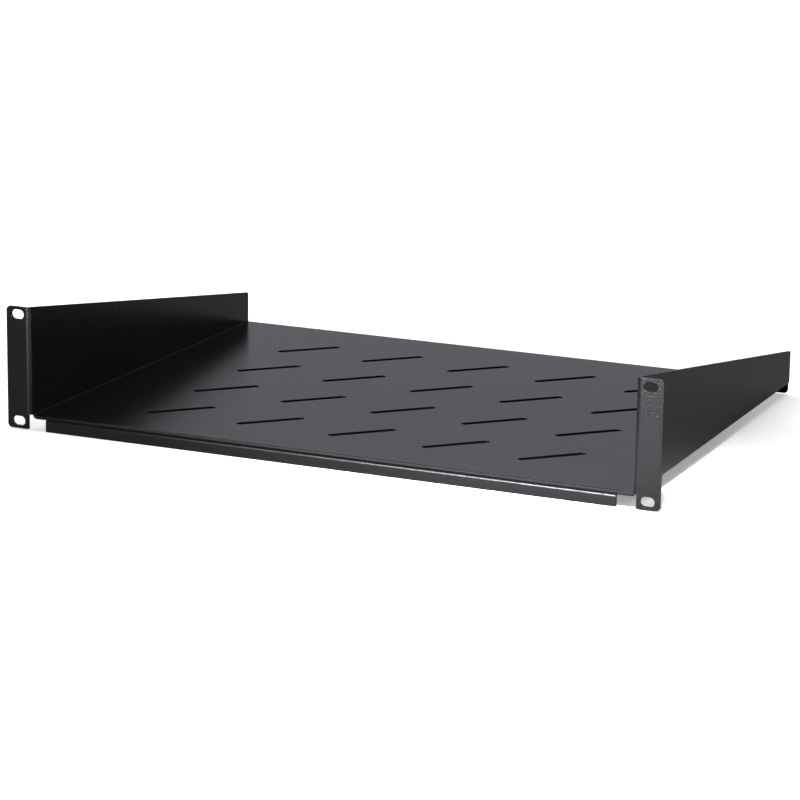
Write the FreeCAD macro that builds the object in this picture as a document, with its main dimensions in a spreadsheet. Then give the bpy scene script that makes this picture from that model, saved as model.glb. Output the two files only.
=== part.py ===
import FreeCAD, Part

import math
import os

import Sketcher

# Cantilever rack shelf for a 19-inch rack, two rack units high: one blank of sheet steel, punched
# and folded. X runs across the rack, Y from the ears to the rear and Z up. The origin is in the
# middle of the four bolt holes, on the ears' rear faces, which seat against the rack's rails.
# The sketches measure from the front plane, where the ears' front faces lie, and from the level
# of the lip's lower edge; the body's placement takes them to the origin.

SIZES = [
    # the sheet and how it is folded
    ("thickness", 2.0, "sheet thickness"),
    ("bend_inside", 1.8, "inside radius of the ears', lip's and rear flange's bends"),
    ("wall_bend_inside", 0.5, "inside radius of the sharper bends between tray and walls"),
    ("slit", 0.5, "width of the relief slits where a bend ends"),
    # the body between the ears
    ("wall_depth", 340.0, "front plane to the walls' rear edges"),
    ("tray_level", 10.5, "lip's lower edge to the tray's upper face"),
    ("rear_height", 33.8, "lip's lower edge to the walls' rear upper corners"),
    # the ears that bolt to the rack's front rails
    ("rack_width", 482.6, "across the ears"),
    ("ear_reach", 16.8, "wall's outer face to the ear's outer edge"),
    ("ear_height", 87.0, "height of the ears"),
    ("ear_clearance", 0.5, "lip's lower edge to the ears' lower edges"),
    ("ear_corner", 3.0, "radius of the ears' outer corners"),
    ("hole_from_side", 8.75, "ear's outer edge to the middle of a bolt hole"),
    ("hole_from_end", 5.4, "ear's upper or lower edge to the middle of a bolt hole"),
    ("hole_length", 10.0, "bolt hole, across the rack"),
    ("hole_height", 6.8, "bolt hole, up the ear"),
    # the edges folded down in front and behind
    ("lip_inset", 13.35, "wall's outer face to the lip's end"),
    ("flange_overhang", 3.0, "walls' rear edges to the rear flange's outer face"),
    ("flange_inset", 1.5, "wall's outer face to the rear flange's end"),
    ("flange_rise", 1.3, "lip's lower edge to the rear flange's lower edge"),
    ("flange_corner", 2.6, "radius of the rear flange's lower corners"),
    ("corner_cut_across", 5.5, "left front corner cut, along the tray's front edge"),
    ("corner_cut_deep", 5.0, "left front corner cut, along the wall"),
    # the diagonal vents in the tray
    ("vent_length", 50.0, "vent, end to end"),
    ("vent_width", 6.0, "vent, side to side"),
    ("vent_angle", 45.0, "degrees from the X axis to a vent"),
    ("vent_pitch", 70.0, "vent to vent, across and deep"),
    ("vent_columns", 5, "vents in a row"),
    ("vent_rows", 4, "rows of vents"),
    ("vent_front", 62.5, "front plane to the centres of the first row"),
    ("vent_shift", 3.0, "centre line to the middle of the grid, towards +X"),
]

# Places that several features share, as formulas on the sheet
EAR_END = "sizes.rack_width / 2"
WALL_OUTER = f"({EAR_END} - sizes.ear_reach)"
WALL_INNER = f"({WALL_OUTER} - sizes.thickness)"
BEND_OUTSIDE = "(sizes.bend_inside + sizes.thickness)"
BEND_LAP = f"({BEND_OUTSIDE} + sizes.slit)"
TRAY_TOP = "sizes.tray_level"
TRAY_UNDER = "(sizes.tray_level - sizes.thickness)"
WALL_BEND = "(sizes.wall_bend_inside + sizes.thickness)"
TRAY_EDGE = f"({WALL_OUTER} - {WALL_BEND})"
FOLD_GAP = "(sizes.tray_level - sizes.slit / 2)"
FOLD_FOOT = "(sizes.tray_level + sizes.slit / 2)"
EAR_BOTTOM = "sizes.ear_clearance"
EAR_TOP = "(sizes.ear_clearance + sizes.ear_height)"
EAR_INNER = f"({WALL_INNER} + {BEND_OUTSIDE} + sizes.slit)"
TONGUE_EDGE = f"({WALL_OUTER} + sizes.slit)"
LIP_END = f"({WALL_OUTER} - sizes.lip_inset)"
FLANGE_FACE = "(sizes.wall_depth + sizes.flange_overhang)"
FLANGE_END = f"({WALL_OUTER} - sizes.flange_inset)"
FLANGE_TOP = f"(sizes.tray_level - {BEND_OUTSIDE})"
FLANGE_FOLD_END = f"({WALL_OUTER} - {BEND_OUTSIDE})"
TAB_EDGE = f"({FLANGE_FOLD_END} + sizes.slit)"
NOTCH_TOP = "(sizes.tray_level - sizes.thickness / 2)"


def make_sheet(doc):
    """Spreadsheet with one named cell for each driving size."""
    sheet = doc.addObject("Spreadsheet::Sheet", "sizes")
    for row, (alias, value, note) in enumerate(SIZES, start=1):
        sheet.set(f"A{row}", alias)
        sheet.set(f"B{row}", str(value))
        sheet.set(f"C{row}", note)
        sheet.setAlias(f"B{row}", alias)
    doc.recompute()
    return sheet


def origin_part(body, role):
    """Axis or plane of the body's own origin."""
    return next(item for item in body.Origin.OriginFeatures if item.Role == role)


def add_sketch(body, name, plane, offset="0"):
    """Empty sketch on a plane of the body's origin, moved along that plane's normal."""
    sketch = body.newObject("Sketcher::SketchObject", name)
    sketch.AttachmentSupport = [(origin_part(body, plane), "")]
    sketch.MapMode = "FlatFace"
    sketch.setExpression("AttachmentOffset.Base.z", offset)
    return sketch


def bind(sketch, kind, *target, formula):
    """Dimension of a sketch that follows a formula on the sheet."""
    value = float(sketch.evalExpression(formula))
    index = sketch.addConstraint(Sketcher.Constraint(kind, *target, value))
    sketch.setExpression(f"Constraints[{index}]", formula)


def bind_point(sketch, curve, point, x, y):
    """Place of a curve's point, measured from the sketch's origin."""
    bind(sketch, "DistanceX", -1, 1, curve, point, formula=x)
    bind(sketch, "DistanceY", -1, 1, curve, point, formula=y)


def draw_outline(sketch, corners):
    """Closed outline through corners (x, y) or (x, y, radius), each of them a formula.

    Both edges at a corner with a radius run along an axis of the sketch.
    """
    count = len(corners)
    spots = [
        FreeCAD.Vector(*(float(sketch.evalExpression(f)) for f in corner[:2])) for corner in corners
    ]
    steps = []
    for number, corner in enumerate(corners):
        x, y = corner[:2]
        if len(corner) == 2:
            steps.append((x, y, spots[number], None))
            continue
        radius = corner[2]
        size = float(sketch.evalExpression(radius))
        arrive = (spots[number] - spots[number - 1]).normalize()
        leave = (spots[(number + 1) % count] - spots[number]).normalize()
        start = spots[number] - arrive * size
        end = spots[number] + leave * size
        arc = (radius, start + leave * size, arrive.cross(leave).z > 0)
        start_x = f"{x} - ({round(arrive.x)}) * {radius}"
        start_y = f"{y} - ({round(arrive.y)}) * {radius}"
        end_x = f"{x} + ({round(leave.x)}) * {radius}"
        end_y = f"{y} + ({round(leave.y)}) * {radius}"
        steps.append((start_x, start_y, start, arc))
        steps.append((end_x, end_y, end, None))
    curves = []
    for number, (x, y, spot, arc) in enumerate(steps):
        following = steps[(number + 1) % len(steps)][2]
        if arc is None:
            curve = sketch.addGeometry(Part.LineSegment(spot, following))
            first, last = 1, 2
        else:
            radius, centre, leftward = arc
            first, last = (1, 2) if leftward else (2, 1)
            begin, finish = (spot, following) if leftward else (following, spot)
            circle = Part.Circle(centre, FreeCAD.Vector(0, 0, 1), (spot - centre).Length)
            angles = [math.atan2(p.y - centre.y, p.x - centre.x) for p in (begin, finish)]
            if angles[1] < angles[0]:
                angles[1] += 2 * math.pi
            curve = sketch.addGeometry(Part.ArcOfCircle(circle, *angles))
            bind(sketch, "Radius", curve, formula=radius)
        bind_point(sketch, curve, first, x, y)
        curves.append((curve, first, last))
    for number, (curve, _, last) in enumerate(curves):
        following, first, _ = curves[(number + 1) % len(curves)]
        sketch.addConstraint(Sketcher.Constraint("Coincident", curve, last, following, first))


def draw_slot(sketch, x, y, length, width, angle):
    """Slot with round ends about (x, y), turned by an angle from the sketch's X axis."""
    reach = f"({length} - {width}) / 2"
    ends = [
        (f"{x} {sign} {reach} * cos({angle})", f"{y} {sign} {reach} * sin({angle})")
        for sign in ("-", "+")
    ]
    near, far = [FreeCAD.Vector(*(float(sketch.evalExpression(f)) for f in end)) for end in ends]
    radius = float(sketch.evalExpression(f"{width} / 2"))
    turn = math.atan2(far.y - near.y, far.x - near.x)
    side = FreeCAD.Vector(-math.sin(turn), math.cos(turn)) * radius
    up = FreeCAD.Vector(0, 0, 1)
    right = math.pi / 2
    lower = sketch.addGeometry(Part.LineSegment(near - side, far - side))
    cap = sketch.addGeometry(Part.ArcOfCircle(Part.Circle(far, up, radius), turn - right, turn + right))
    upper = sketch.addGeometry(Part.LineSegment(far + side, near + side))
    foot = sketch.addGeometry(Part.ArcOfCircle(Part.Circle(near, up, radius), turn + right, turn + 3 * right))
    for one, other in ((lower, cap), (cap, upper), (upper, foot), (foot, lower)):
        sketch.addConstraint(Sketcher.Constraint("Tangent", one, 2, other, 1))
    sketch.addConstraint(Sketcher.Constraint("Equal", cap, foot))
    bind(sketch, "Radius", cap, formula=f"{width} / 2")
    bind_point(sketch, foot, 3, *ends[0])
    bind_point(sketch, cap, 3, *ends[1])


def sweep(body, kind, name, sketch, length=None, backward=False, both_ways=False):
    """Pad or Pocket of a sketch: as long as a formula says, or through everything."""
    feature = body.newObject(f"PartDesign::{kind}", name)
    feature.Profile = sketch
    feature.Reversed = backward
    feature.SideType = "Symmetric" if both_ways else "One side"
    if length is None:
        feature.Type = "ThroughAll"
    else:
        feature.setExpression("Length", length)
    body.Tip = feature
    return feature


def mirror(body, name, features):
    """The same features on the other side of the centre line."""
    feature = body.newObject("PartDesign::Mirrored", name)
    feature.Originals = features
    feature.MirrorPlane = (origin_part(body, "YZ_Plane"), [""])
    body.Tip = feature


def line_up(body, name, axis, pitch, count):
    """Row of copies along an axis, for repeat() to use."""
    pattern = body.newObject("PartDesign::LinearPattern", name)
    pattern.Direction = (origin_part(body, axis), [""])
    pattern.Mode = "Spacing"
    pattern.setExpression("Offset", pitch)
    pattern.setExpression("Occurrences", count)
    return pattern


def repeat(body, name, feature, transformations):
    """A feature repeated by several transformations, one after the other."""
    pattern = body.newObject("PartDesign::MultiTransform", name)
    pattern.Originals = [feature]
    pattern.Transformations = transformations
    body.Tip = pattern


def fold_walls(body):
    """Tray with a wall folded up along each side, the walls still square."""
    section = add_sketch(body, "wall_section", "XZ_Plane")
    draw_outline(section, [
        (f"-{WALL_OUTER}", EAR_TOP),
        (f"-{WALL_OUTER}", TRAY_UNDER, WALL_BEND),
        (WALL_OUTER, TRAY_UNDER, WALL_BEND),
        (WALL_OUTER, EAR_TOP),
        (WALL_INNER, EAR_TOP),
        (WALL_INNER, TRAY_TOP, "sizes.wall_bend_inside"),
        (f"-{WALL_INNER}", TRAY_TOP, "sizes.wall_bend_inside"),
        (f"-{WALL_INNER}", EAR_TOP),
    ])
    sweep(body, "Pad", "tray_and_walls", section, "sizes.wall_depth", backward=True)


def fold_ears(body):
    """Ears folded outward from the walls' front edges, with a slit under each fold."""
    front = add_sketch(body, "wall_front", "XY_Plane", FOLD_GAP)
    draw_outline(front, [
        (TRAY_EDGE, "0"),
        (WALL_OUTER, "0"),
        (WALL_OUTER, BEND_OUTSIDE),
        (TRAY_EDGE, BEND_OUTSIDE),
    ])
    trim = sweep(body, "Pocket", "wall_front_trim", front, backward=True)
    mirror(body, "left_wall_front_trim", [trim])
    fold = add_sketch(body, "ear_fold_section", "XY_Plane", FOLD_FOOT)
    draw_outline(fold, [
        (WALL_OUTER, BEND_LAP),
        (WALL_OUTER, "sizes.thickness", "sizes.bend_inside"),
        (EAR_INNER, "sizes.thickness"),
        (EAR_INNER, "0"),
        (WALL_INNER, "0", BEND_OUTSIDE),
        (WALL_INNER, BEND_LAP),
    ])
    bend = sweep(body, "Pad", "ear_fold", fold, f"{EAR_TOP} - {FOLD_FOOT}")
    face = add_sketch(body, "ear_face", "XZ_Plane")
    draw_outline(face, [
        (TONGUE_EDGE, EAR_BOTTOM),
        (EAR_END, EAR_BOTTOM, "sizes.ear_corner"),
        (EAR_END, EAR_TOP, "sizes.ear_corner"),
        (EAR_INNER, EAR_TOP),
        (EAR_INNER, FOLD_FOOT),
        (TONGUE_EDGE, FOLD_FOOT),
    ])
    plate = sweep(body, "Pad", "ear", face, "sizes.thickness", backward=True)
    mirror(body, "left_ear", [bend, plate])


def taper_walls(body):
    """Walls' upper edges, straight down from the ears' tops to the low rear corners."""
    slope = add_sketch(body, "wall_slope", "YZ_Plane")
    draw_outline(slope, [
        (BEND_OUTSIDE, EAR_TOP),
        ("sizes.wall_depth", "sizes.rear_height"),
        ("sizes.wall_depth", EAR_TOP),
    ])
    sweep(body, "Pocket", "wall_taper", slope, f"2 * {WALL_OUTER}", both_ways=True)


def fold_lip(body):
    """Lip folded down along the tray's front edge, between two relief slits."""
    gap = add_sketch(body, "lip_gap", "XY_Plane", TRAY_TOP)
    draw_outline(gap, [
        (f"-({LIP_END} + sizes.slit)", "0"),
        (f"{LIP_END} + sizes.slit", "0"),
        (f"{LIP_END} + sizes.slit", BEND_LAP),
        (f"-({LIP_END} + sizes.slit)", BEND_LAP),
    ])
    sweep(body, "Pocket", "lip_relief", gap)
    section = add_sketch(body, "lip_section", "YZ_Plane")
    draw_outline(section, [
        (BEND_LAP, TRAY_TOP),
        ("0", TRAY_TOP, BEND_OUTSIDE),
        ("0", "0"),
        ("sizes.thickness", "0"),
        ("sizes.thickness", TRAY_UNDER, "sizes.bend_inside"),
        (BEND_LAP, TRAY_UNDER),
    ])
    sweep(body, "Pad", "front_lip", section, f"2 * {LIP_END}", both_ways=True)


def fold_flange(body):
    """Flange folded down along the tray's rear edge, its ends standing clear of the bend."""
    cuts = [("flange_gap", "flange_relief", TRAY_TOP, TRAY_EDGE),
            ("rear_notch", "wall_relief", NOTCH_TOP, WALL_OUTER)]
    for sketch_name, cut_name, level, reach in cuts:
        gap = add_sketch(body, sketch_name, "XY_Plane", level)
        draw_outline(gap, [
            (f"-{reach}", f"{FLANGE_FACE} - {BEND_LAP}"),
            (reach, f"{FLANGE_FACE} - {BEND_LAP}"),
            (reach, "sizes.wall_depth"),
            (f"-{reach}", "sizes.wall_depth"),
        ])
        sweep(body, "Pocket", cut_name, gap)
    section = add_sketch(body, "flange_section", "YZ_Plane")
    draw_outline(section, [
        (f"{FLANGE_FACE} - {BEND_LAP}", TRAY_UNDER),
        (f"{FLANGE_FACE} - sizes.thickness", TRAY_UNDER, "sizes.bend_inside"),
        (f"{FLANGE_FACE} - sizes.thickness", f"{FLANGE_TOP} - sizes.slit"),
        (FLANGE_FACE, f"{FLANGE_TOP} - sizes.slit"),
        (FLANGE_FACE, TRAY_TOP, BEND_OUTSIDE),
        (f"{FLANGE_FACE} - {BEND_LAP}", TRAY_TOP),
    ])
    sweep(body, "Pad", "flange_fold", section, f"2 * {FLANGE_FOLD_END}", both_ways=True)
    face = add_sketch(body, "flange_face", "XZ_Plane", f"-{FLANGE_FACE}")
    draw_outline(face, [
        (f"-{FLANGE_END}", TRAY_UNDER),
        (f"-{FLANGE_END}", "sizes.flange_rise", "sizes.flange_corner"),
        (FLANGE_END, "sizes.flange_rise", "sizes.flange_corner"),
        (FLANGE_END, TRAY_UNDER),
        (TAB_EDGE, TRAY_UNDER),
        (TAB_EDGE, FLANGE_TOP),
        (f"-{TAB_EDGE}", FLANGE_TOP),
        (f"-{TAB_EDGE}", TRAY_UNDER),
    ])
    sweep(body, "Pad", "rear_flange", face, "sizes.thickness")


def cut_front_corner(body):
    """Oblique cut through the left wall's fold where it meets the tray's front edge."""
    corner = add_sketch(body, "front_corner", "XY_Plane", FOLD_FOOT)
    draw_outline(corner, [
        (f"-{WALL_OUTER}", "0"),
        (f"-{WALL_OUTER} + sizes.corner_cut_across", "0"),
        (f"-{WALL_OUTER}", "sizes.corner_cut_deep"),
    ])
    sweep(body, "Pocket", "front_corner_cut", corner, f"2 * {BEND_OUTSIDE}")


def punch_vents(body):
    """Grid of diagonal slots through the tray."""
    slot = add_sketch(body, "vent_slot", "XY_Plane", TRAY_TOP)
    first_column = "sizes.vent_shift - (sizes.vent_columns - 1) / 2 * sizes.vent_pitch"
    draw_slot(slot, first_column, "sizes.vent_front", "sizes.vent_length", "sizes.vent_width",
              "sizes.vent_angle")
    vent = sweep(body, "Pocket", "vent", slot, "2 * sizes.thickness")
    row = line_up(body, "vent_row", "X_Axis", "sizes.vent_pitch", "sizes.vent_columns")
    column = line_up(body, "vent_column", "Y_Axis", "sizes.vent_pitch", "sizes.vent_rows")
    repeat(body, "vents", vent, [row, column])


def punch_bolt_holes(body):
    """Oblong bolt hole near each end of both ears."""
    slot = add_sketch(body, "bolt_slot", "XZ_Plane")
    across = f"{EAR_END} - sizes.hole_from_side"
    lowest = f"{EAR_BOTTOM} + sizes.hole_from_end"
    draw_slot(slot, across, lowest, "sizes.hole_length", "sizes.hole_height", "0")
    hole = sweep(body, "Pocket", "bolt_hole", slot, "2 * sizes.thickness")
    rise = "sizes.ear_height - 2 * sizes.hole_from_end"
    column = line_up(body, "bolt_hole_column", "Z_Axis", rise, "2")
    sides = body.newObject("PartDesign::Mirrored", "bolt_hole_sides")
    sides.MirrorPlane = (origin_part(body, "YZ_Plane"), [""])
    repeat(body, "bolt_holes", hole, [column, sides])


def build_shelf(doc):
    """The whole shelf, folded and punched."""
    body = doc.addObject("PartDesign::Body", "shelf")
    body.Label = "shelf"
    body.Placement = FreeCAD.Placement()
    body.setExpression("Placement.Base.y", "-sizes.thickness")
    body.setExpression("Placement.Base.z", f"-({EAR_BOTTOM} + sizes.ear_height / 2)")
    for step in (fold_walls, fold_ears, taper_walls, fold_lip, fold_flange, cut_front_corner,
                 punch_vents, punch_bolt_holes):
        step(body)
    return body


def check(doc, bodies):
    """Stop if an object failed, a shape is bad or a cut removed nothing."""
    for item in doc.Objects:
        if "Invalid" in item.State or "Error" in item.State:
            raise RuntimeError(f"{item.Name}: {item.State}")
    for body in bodies:
        solid = body.Shape
        if solid.isNull() or not solid.isValid() or len(solid.Solids) != 1:
            raise RuntimeError(f"{body.Label}: not one valid solid")
        for cut in body.Group:
            if cut.TypeId == "PartDesign::Pocket" and cut.Shape.Volume >= cut.BaseFeature.Shape.Volume:
                raise RuntimeError(f"{cut.Name}: removes nothing")


def export(bodies):
    """One STEP file for each sub-part, named by its label."""
    os.makedirs("parts", exist_ok=True)
    for body in bodies:
        body.Shape.exportStep(f"parts/{body.Label}.step")


document = FreeCAD.newDocument("rack_shelf")
make_sheet(document)
parts = [build_shelf(document)]
document.recompute()
check(document, parts)
export(parts)
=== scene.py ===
import math

import bpy
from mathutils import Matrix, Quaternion, Vector


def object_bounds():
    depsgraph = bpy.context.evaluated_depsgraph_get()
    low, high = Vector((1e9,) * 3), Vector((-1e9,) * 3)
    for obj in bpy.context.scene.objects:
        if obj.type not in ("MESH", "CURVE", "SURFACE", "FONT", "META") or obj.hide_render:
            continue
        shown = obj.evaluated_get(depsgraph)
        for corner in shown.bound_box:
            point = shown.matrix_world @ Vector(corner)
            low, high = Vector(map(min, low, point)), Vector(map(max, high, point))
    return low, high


# Cantilever rack shelf in black powder coat, on a white floor in soft studio light.
# Everything is in metres in the part's frame: X across the rack, Y to the rear, Z up.
# Colours are linear.

# Camera
AZIMUTH = math.radians(23.53)           # to the right of the front
ELEVATION = math.radians(14.08)
ROLL = math.radians(0.84)
DISTANCE = 2.2318                       # camera to the point it looks at
AIM_FROM_CENTRE = Vector((-0.0101, -0.0144, -0.0329))
LENS_MM = 139.97
SENSOR_MM = 36.0
CLIP_END = 200.0

# Powder coat; each noise is its scale per metre, detail and roughness
CLOUD_NOISE = (9.0, 3.0, 0.5)           # slow drift of the black
CLOUD_REACH = (0.35, 0.65)              # noise values at the deepest and the palest black
DEEP_BLACK = (0.0024, 0.0023, 0.0024, 1.0)
PALE_BLACK = (0.0036, 0.0035, 0.0037, 1.0)
# Paler colour on the edges: partly the coat thinning over them, partly a painted highlight along
# them.
EDGE_THIN_COAT_AND_HIGHLIGHT = (0.016, 0.016, 0.017, 1.0)
PIT_NOISE = (560.0, 3.0, 0.6)           # the coat's orange peel
PIT_REACH = (0.3, 0.7)                  # noise values at the least and the most roughness
COAT_ROUGHNESS = (0.17, 0.24)
GRAIN_NOISE = (1700.0, 2.0, 0.6)        # the fine tooth on top of it
PIT_BUMP = (0.35, 0.00035)              # strength, height
GRAIN_BUMP = (0.2, 0.00004)
EDGE_ROUNDING = 0.0003                  # radius that sharp edges are shaded with
EDGE_SAMPLES = 6
EDGE_COSINES = (0.75, 0.99)             # rounded normal against flat one: all edge, no edge

# Floor
FLOOR_SIDE = 60.0
FLOOR_GREY = (0.25, 0.25, 0.25, 1.0)    # what the shelf mirrors and is lit by from below
FLOOR_WHITE = (1.0, 1.0, 1.0, 1.0)      # what the camera sees
FLOOR_GLOW = (0.32, 1.0)                # light of its own, for the camera alone: near, far
FLOOR_GLOW_REACH = (0.3, 0.85)          # near and far, from the point below the origin

# Room
BACKDROP = (1.0, 1.0, 1.0, 1.0)         # what the camera sees, at strength 1
ROOM_COLOUR = (0.96, 0.96, 1.05, 1.0)   # what lights the shelf
REAR_LEFT = (-0.4, 0.92, 0.0)           # where the room is brightest
REAR_LIGHT = (0.025, 0.41)              # strengths facing away from there and facing it
REAR_COSINES = (0.55, 0.95)
SIDE_LIGHT = (0.0, 0.35)                # strengths added away from the sides and at them
SIDE_COSINES = (0.5, 0.9)

# Lamps: name, place, target, width, height, watts, beam in degrees, colour
WHITE = (1.0, 1.0, 1.0)
COOL = (0.98, 0.97, 1.05)
LAMPS = (
    ("overhead", (0.03, 0.3, 1.5), (0.03, 0.2, 0.0), 1.8, 1.5, 18.0, 180.0, WHITE),
    ("left", (-1.6, 0.1, 1.0), (0.1, 0.1, 0.0), 0.8, 0.8, 12.0, 180.0, WHITE),
    ("right", (0.28, -0.35, 0.6), (0.15, -0.1, -0.04), 0.12, 0.12, 1.5, 40.0, COOL),
    ("front", (-0.03, -0.75, 0.05), (0.1, 0.0, -0.03), 0.26, 0.12, 6.5, 180.0, COOL),
    ("front_fill", (-0.23, -0.75, 0.05), (-0.05, 0.0, -0.03), 0.14, 0.12, 1.5, 180.0, COOL),
    ("left_fill", (-0.36, -0.75, 0.05), (-0.2, 0.0, -0.03), 0.12, 0.12, 0.4, 180.0, COOL),
)


def input_of(node, name, value):
    """Sets a socket's own value."""
    node.inputs[name].default_value = value


def new_material(name):
    """New material, its emptied node tree and that tree's output node."""
    material = bpy.data.materials.new(name)
    material.use_nodes = True
    tree = material.node_tree
    tree.nodes.clear()
    return material, tree, tree.nodes.new("ShaderNodeOutputMaterial")


def noise(tree, coordinates, scale, detail, roughness):
    """Noise texture over the part's own coordinates."""
    node = tree.nodes.new("ShaderNodeTexNoise")
    tree.links.new(coordinates, node.inputs["Vector"])
    input_of(node, "Scale", scale)
    input_of(node, "Detail", detail)
    input_of(node, "Roughness", roughness)
    return node.outputs["Fac"]


def ramp(tree, source, low, high, reach):
    """Colour that runs from low to high while the source runs through its reach."""
    node = tree.nodes.new("ShaderNodeValToRGB")
    tree.links.new(source, node.inputs["Fac"])
    for stop, position, colour in zip(node.color_ramp.elements, reach, (low, high)):
        stop.position = position
        stop.color = colour
    return node.outputs["Color"]


def spread(tree, source, low, high, reach):
    """Number that runs from low to high while the source runs through its reach."""
    node = tree.nodes.new("ShaderNodeMapRange")
    tree.links.new(source, node.inputs["Value"])
    input_of(node, "From Min", reach[0])
    input_of(node, "From Max", reach[1])
    input_of(node, "To Min", low)
    input_of(node, "To Max", high)
    return node.outputs["Result"]


def worked_out(tree, kind, operation, *sources):
    """Number that a math or vector math node makes of sockets and plain values."""
    node = tree.nodes.new(kind)
    node.operation = operation
    for source, socket in zip(sources, node.inputs):
        if isinstance(source, bpy.types.NodeSocket):
            tree.links.new(source, socket)
        else:
            socket.default_value = source
    return node.outputs["Value"]


def bump(tree, height, normal, strength, distance):
    """Normal with a fine relief laid over it."""
    node = tree.nodes.new("ShaderNodeBump")
    input_of(node, "Strength", strength)
    input_of(node, "Distance", distance)
    tree.links.new(height, node.inputs["Height"])
    tree.links.new(normal, node.inputs["Normal"])
    return node.outputs["Normal"]


def either(tree, switch, off, on):
    """One shader where the switch is 0, the other where it is 1."""
    node = tree.nodes.new("ShaderNodeMixShader")
    tree.links.new(switch, node.inputs["Fac"])
    tree.links.new(off, node.inputs[1])
    tree.links.new(on, node.inputs[2])
    return node.outputs["Shader"]


def powder_coat():
    """Fine-textured satin black powder coat, a little paler at the edges: partly where the coat
    thins, partly a painted highlight along them.
    """
    material, tree, output = new_material("black_powder_coat")
    shader = tree.nodes.new("ShaderNodeBsdfPrincipled")
    tree.links.new(shader.outputs["BSDF"], output.inputs["Surface"])
    place = tree.nodes.new("ShaderNodeTexCoord").outputs["Object"]

    rounding = tree.nodes.new("ShaderNodeBevel")
    rounding.samples = EDGE_SAMPLES
    input_of(rounding, "Radius", EDGE_ROUNDING)
    rounded = rounding.outputs["Normal"]
    flat = tree.nodes.new("ShaderNodeNewGeometry").outputs["Normal"]
    cosine = worked_out(tree, "ShaderNodeVectorMath", "DOT_PRODUCT", rounded, flat)

    # Paler edge colour, partly thin coat and partly a painted highlight along the edges.
    colour = tree.nodes.new("ShaderNodeMix")
    colour.data_type = "RGBA"
    tree.links.new(spread(tree, cosine, 1.0, 0.0, EDGE_COSINES), colour.inputs["Factor"])
    cloud = noise(tree, place, *CLOUD_NOISE)
    black = ramp(tree, cloud, DEEP_BLACK, PALE_BLACK, CLOUD_REACH)
    tree.links.new(black, colour.inputs["A"])
    input_of(colour, "B", EDGE_THIN_COAT_AND_HIGHLIGHT)
    tree.links.new(colour.outputs["Result"], shader.inputs["Base Color"])
    pits = noise(tree, place, *PIT_NOISE)
    roughness = spread(tree, pits, *COAT_ROUGHNESS, PIT_REACH)
    tree.links.new(roughness, shader.inputs["Roughness"])

    pitted = bump(tree, pits, rounded, *PIT_BUMP)
    grainy = bump(tree, noise(tree, place, *GRAIN_NOISE), pitted, *GRAIN_BUMP)
    tree.links.new(grainy, shader.inputs["Normal"])
    return material


def white_floor(level):
    """Large white floor that the shelf stands on, clear when seen from below."""
    bpy.ops.mesh.primitive_plane_add(size=FLOOR_SIDE, location=(0, 0, level))
    floor = bpy.context.object
    floor.name = "floor"
    material, tree, output = new_material("white_floor")
    seen = tree.nodes.new("ShaderNodeLightPath").outputs["Is Camera Ray"]
    paper = tree.nodes.new("ShaderNodeBsdfDiffuse")
    white = ramp(tree, seen, FLOOR_GREY, FLOOR_WHITE, (0.0, 1.0))
    tree.links.new(white, paper.inputs["Color"])

    glow = tree.nodes.new("ShaderNodeEmission")
    place = tree.nodes.new("ShaderNodeTexCoord").outputs["Object"]
    away = worked_out(tree, "ShaderNodeVectorMath", "LENGTH", place)
    light = spread(tree, away, *FLOOR_GLOW, FLOOR_GLOW_REACH)
    strength = worked_out(tree, "ShaderNodeMath", "MULTIPLY", seen, light)
    tree.links.new(strength, glow.inputs["Strength"])
    both = tree.nodes.new("ShaderNodeAddShader")
    tree.links.new(paper.outputs["BSDF"], both.inputs[0])
    tree.links.new(glow.outputs["Emission"], both.inputs[1])

    clear = tree.nodes.new("ShaderNodeBsdfTransparent").outputs["BSDF"]
    below = tree.nodes.new("ShaderNodeNewGeometry").outputs["Backfacing"]
    surface = either(tree, below, both.outputs["Shader"], clear)
    tree.links.new(surface, output.inputs["Surface"])
    floor.data.materials.append(material)


def lamp(name, place, target, width, height, watts, beam, colour):
    """Soft box aimed at a point and hidden from the camera."""
    data = bpy.data.lights.new(name, "AREA")
    data.shape = "RECTANGLE"
    data.size = width
    data.size_y = height
    data.energy = watts
    data.spread = math.radians(beam)
    data.color = colour
    item = bpy.data.objects.new(name, data)
    bpy.context.collection.objects.link(item)
    item.location = place
    item.rotation_euler = (Vector(target) - Vector(place)).to_track_quat("-Z", "Y").to_euler()
    item.visible_camera = False


def background(tree, colour):
    """Background shader of one colour."""
    node = tree.nodes.new("ShaderNodeBackground")
    input_of(node, "Color", colour)
    return node


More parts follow.
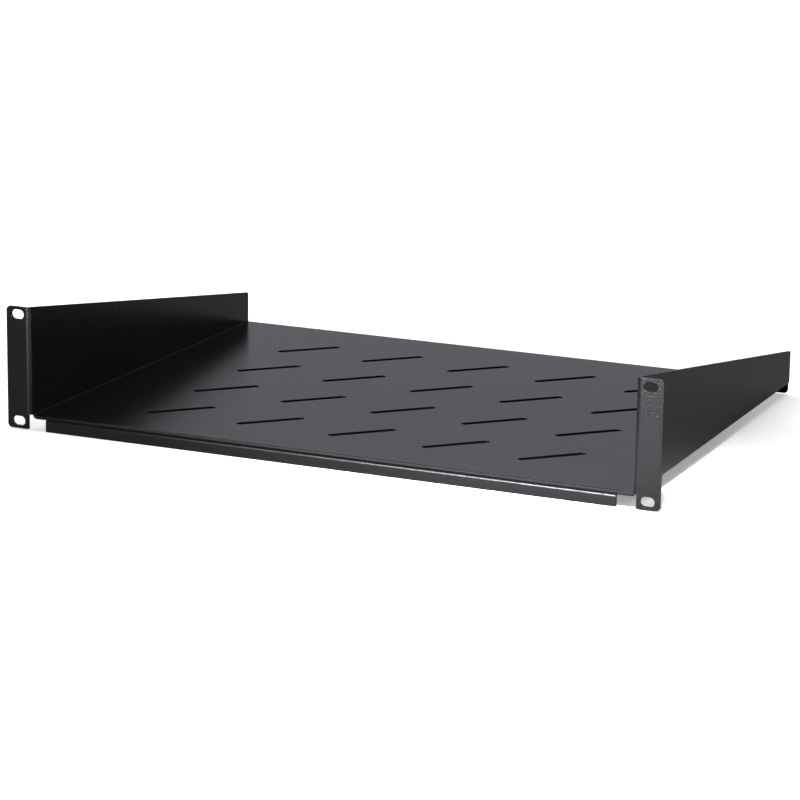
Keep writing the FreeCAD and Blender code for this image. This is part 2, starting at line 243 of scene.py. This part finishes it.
def studio():
    """White backdrop for the camera, and a dim room that is lighter to the rear and the sides."""
    world = bpy.data.worlds.new("studio")
    bpy.context.scene.world = world
    world.use_nodes = True
    tree = world.node_tree
    tree.nodes.clear()
    output = tree.nodes.new("ShaderNodeOutputWorld")

    direction = tree.nodes.new("ShaderNodeTexCoord").outputs["Generated"]
    rear = worked_out(tree, "ShaderNodeVectorMath", "DOT_PRODUCT", direction, REAR_LEFT)
    split = tree.nodes.new("ShaderNodeSeparateXYZ")
    tree.links.new(direction, split.inputs["Vector"])
    aside = worked_out(tree, "ShaderNodeMath", "ABSOLUTE", split.outputs["X"])
    rear_light = spread(tree, rear, *REAR_LIGHT, REAR_COSINES)
    side_light = spread(tree, aside, *SIDE_LIGHT, SIDE_COSINES)
    room = background(tree, ROOM_COLOUR)
    level = worked_out(tree, "ShaderNodeMath", "ADD", rear_light, side_light)
    tree.links.new(level, room.inputs["Strength"])

    backdrop = background(tree, BACKDROP)
    input_of(backdrop, "Strength", 1.0)
    seen = tree.nodes.new("ShaderNodeLightPath").outputs["Is Camera Ray"]
    surface = either(tree, seen, room.outputs["Background"], backdrop.outputs["Background"])
    tree.links.new(surface, output.inputs["Surface"])


def aim_camera(centre):
    """Camera to the right of the front, looking a little down."""
    forward = Vector((
        -math.sin(AZIMUTH) * math.cos(ELEVATION),
        math.cos(AZIMUTH) * math.cos(ELEVATION),
        -math.sin(ELEVATION),
    ))
    data = bpy.data.cameras.new("camera")
    data.sensor_width = SENSOR_MM
    data.lens = LENS_MM
    data.clip_end = CLIP_END
    camera = bpy.data.objects.new("camera", data)
    bpy.context.collection.objects.link(camera)
    camera.location = centre + AIM_FROM_CENTRE - forward * DISTANCE
    turn = forward.to_track_quat("-Z", "Y") @ Quaternion((0, 0, 1), ROLL)
    camera.rotation_euler = turn.to_euler()
    bpy.context.scene.camera = camera


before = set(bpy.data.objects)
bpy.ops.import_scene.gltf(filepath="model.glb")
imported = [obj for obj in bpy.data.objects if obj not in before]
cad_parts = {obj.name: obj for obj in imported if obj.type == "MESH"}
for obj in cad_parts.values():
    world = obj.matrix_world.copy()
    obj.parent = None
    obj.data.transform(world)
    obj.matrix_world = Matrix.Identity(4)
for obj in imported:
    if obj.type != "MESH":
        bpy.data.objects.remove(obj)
cad_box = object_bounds()
low, high = (Vector(corner) for corner in cad_box)

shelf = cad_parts["shelf"]
coat = powder_coat()
for item in shelf.material_slots:
    item.material = coat

white_floor(low.z)
studio()
for settings in LAMPS:
    lamp(*settings)
aim_camera((low + high) / 2)
bpy.context.scene.view_settings.view_transform = "Standard"
